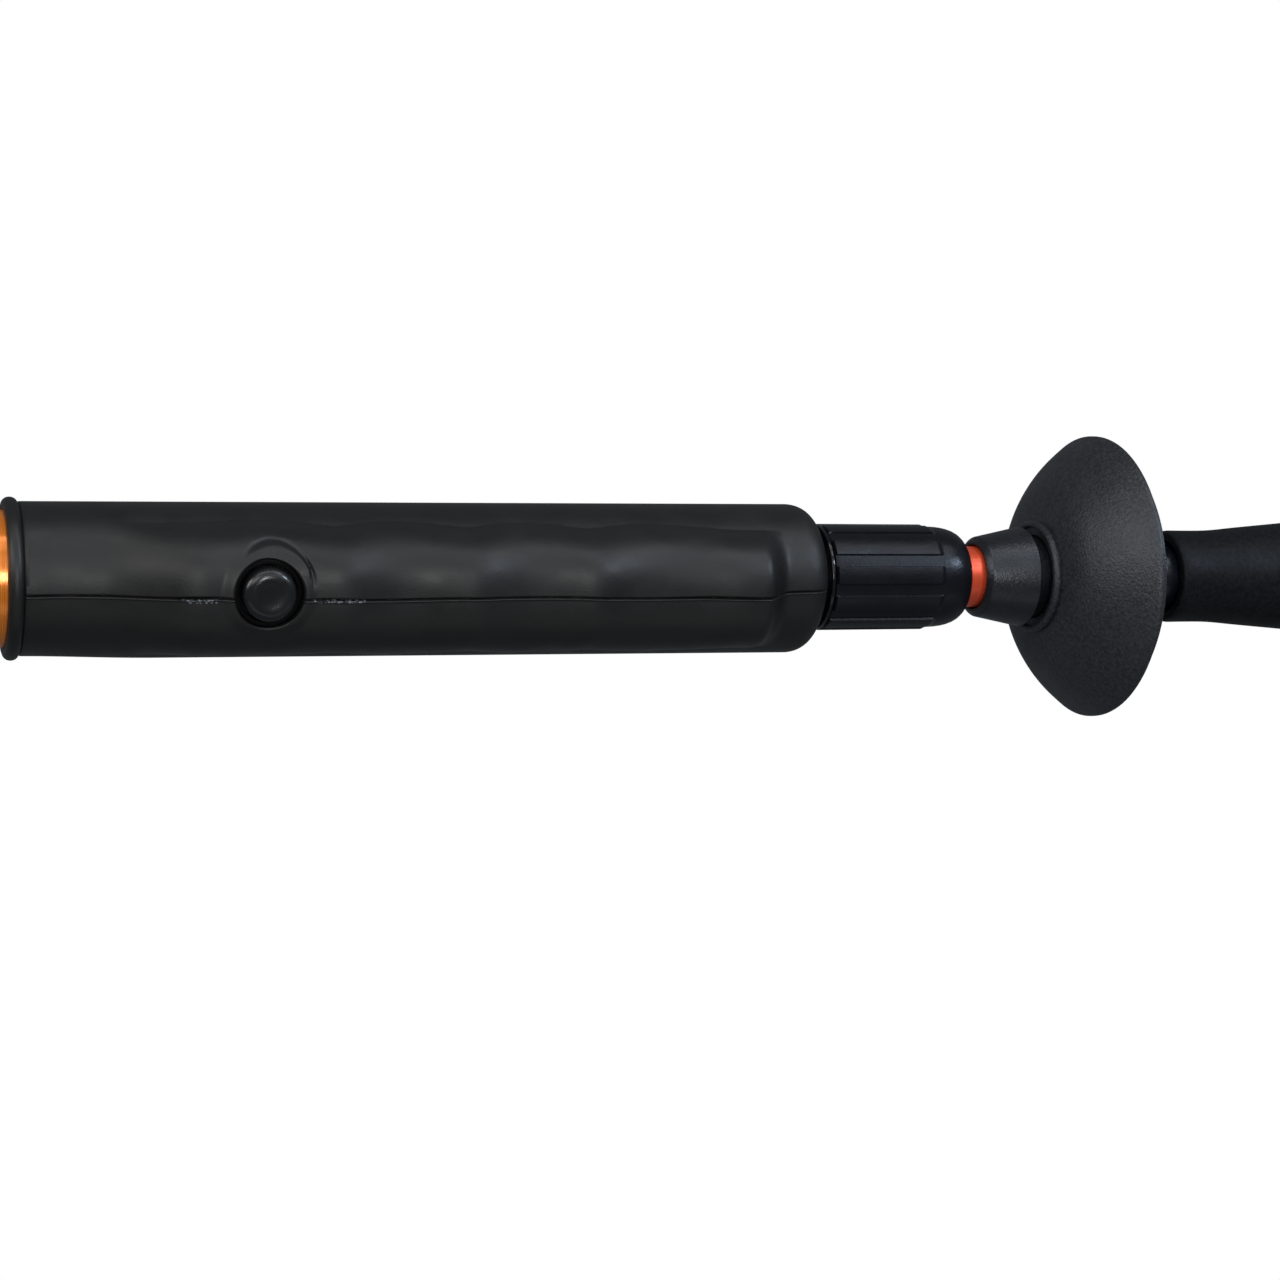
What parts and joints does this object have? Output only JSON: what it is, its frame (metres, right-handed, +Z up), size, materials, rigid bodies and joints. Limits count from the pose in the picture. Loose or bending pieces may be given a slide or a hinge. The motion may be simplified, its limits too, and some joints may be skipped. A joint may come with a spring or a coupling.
{
  "type": "pinpointer probe",
  "caption": "Handheld telescoping metal-detecting probe: rubber finger grip with push-button, twist-lock sleeve, sliding tube, guard basket and capped sensing tip.",
  "frame": {"origin": "on the barrel's axis, in the middle of the grip, where the hand closes round it", "axes": "+X runs along the wand to the sensing tip, -Y is the side with the finger pad and the push-button, +Z is up"},
  "size_m": [0.375, 0.056, 0.056],
  "materials": {
    "grip_rubber": "matte moulded rubber",
    "boot_rubber": "satin moulded rubber",
    "black_plastic": "satin moulded plastic",
    "gloss_black": "gloss",
    "basket_plastic": "fine-grained moulded plastic",
    "tip_plastic": "satin moulded plastic",
    "orange_anodised": "polished orange anodised",
    "red_anodised": "brushed orange-red anodised",
    "grey_nylon": "matte",
    "circuit_board": "solder mask",
    "component_black": "matte",
    "steel": "bright",
    "nickel": "nickel plated",
    "cell_wrap": "plain shrink wrap over a metal can",
    "ferrite": "sintered",
    "copper": "enamelled winding",
    "lead_sheath": "sheathed lead",
    "felt": "felt"
  },
  "bodies": {
    "handle": {"rubber_grip": "grip_rubber", "barrel": "orange_anodised", "button_bezel": "gloss_black", "tact_switch": "steel", "electronics_chassis": "grey_nylon", "circuit_board": "circuit_board", "board_screw_1": "steel", "board_screw_2": "steel", "processor_chip": "component_black", "buzzer": "component_black", "vibration_motor": "steel", "battery_contact": "nickel", "battery_cell_1": "cell_wrap", "battery_cell_2": "cell_wrap", "battery_liner": "grey_nylon", "front_bush": "black_plastic", "collar_ring": "gloss_black", "coiled_lead": "lead_sheath"},
    "button": {"button_cap": "grip_rubber", "switch_plunger": "component_black"},
    "motor_weight": {"eccentric_weight": "nickel"},
    "cap_seal": {"cap_seal": "gloss_black"},
    "tail_cap": {"tail_cap": "black_plastic", "cap_contact": "nickel", "cap_spring": "steel"},
    "collet": {"split_collet": "grey_nylon"},
    "lock_sleeve": {"lock_sleeve": "black_plastic", "tube_wiper": "felt"},
    "lower_tube": {"lower_tube": "red_anodised", "tube_stopper": "grey_nylon", "tip_ferrule": "basket_plastic", "probe_housing": "tip_plastic", "ferrite_rod": "ferrite", "coil_bobbin": "grey_nylon", "coil_winding": "copper", "tip_lead": "lead_sheath", "basket_nut": "black_plastic"},
    "basket": {"basket": "basket_plastic"},
    "rubber_boot": {"rubber_boot": "boot_rubber"}
  },
  "joints": [
    {"name": "button_press", "type": "slide", "parent": "handle", "child": "button", "axis": [0, 1, 0], "range_m": [0, 0.001], "stiffness_N_per_m": 600, "springref_m": -0.001},
    {"name": "motor_spin", "type": "hinge", "parent": "handle", "child": "motor_weight", "pos_m": [-0.0507, 0.002, 0], "axis": [1, 0, 0], "continuous": true},
    {"name": "cap_draw", "type": "slide", "parent": "handle", "child": "cap_seal", "axis": [-1, 0, 0], "range_m": [0, 0.00601]},
    {"name": "cap_turn", "type": "hinge", "parent": "cap_seal", "child": "tail_cap", "pos_m": [-0.157, 0, 0], "axis": [-1, 0, 0], "range_deg": [0, 1440]},
    {"name": "collet_draw", "type": "slide", "parent": "handle", "child": "collet", "axis": [1, 0, 0], "range_m": [0, 0.000505]},
    {"name": "sleeve_twist", "type": "hinge", "parent": "collet", "child": "lock_sleeve", "pos_m": [0.09, 0, 0], "axis": [1, 0, 0], "range_deg": [0, 120]},
    {"name": "tube_slide", "type": "slide", "parent": "handle", "child": "lower_tube", "axis": [1, 0, 0], "range_m": [0, 0.06], "deforming": ["coiled_lead"]},
    {"name": "basket_swivel", "type": "hinge", "parent": "lower_tube", "child": "basket", "pos_m": [0.131, 0, 0], "axis": [1, 0, 0], "continuous": true},
    {"name": "boot_pull", "type": "slide", "parent": "lower_tube", "child": "rubber_boot", "axis": [1, 0, 0], "range_m": [0, 0.056]}
  ],
  "couplings": [
    {"joint": "cap_draw", "follows": "cap_turn", "m_per_rad": 0.00023873},
    {"joint": "collet_draw", "follows": "sleeve_twist", "m_per_rad": 0.00023873}
  ]
}
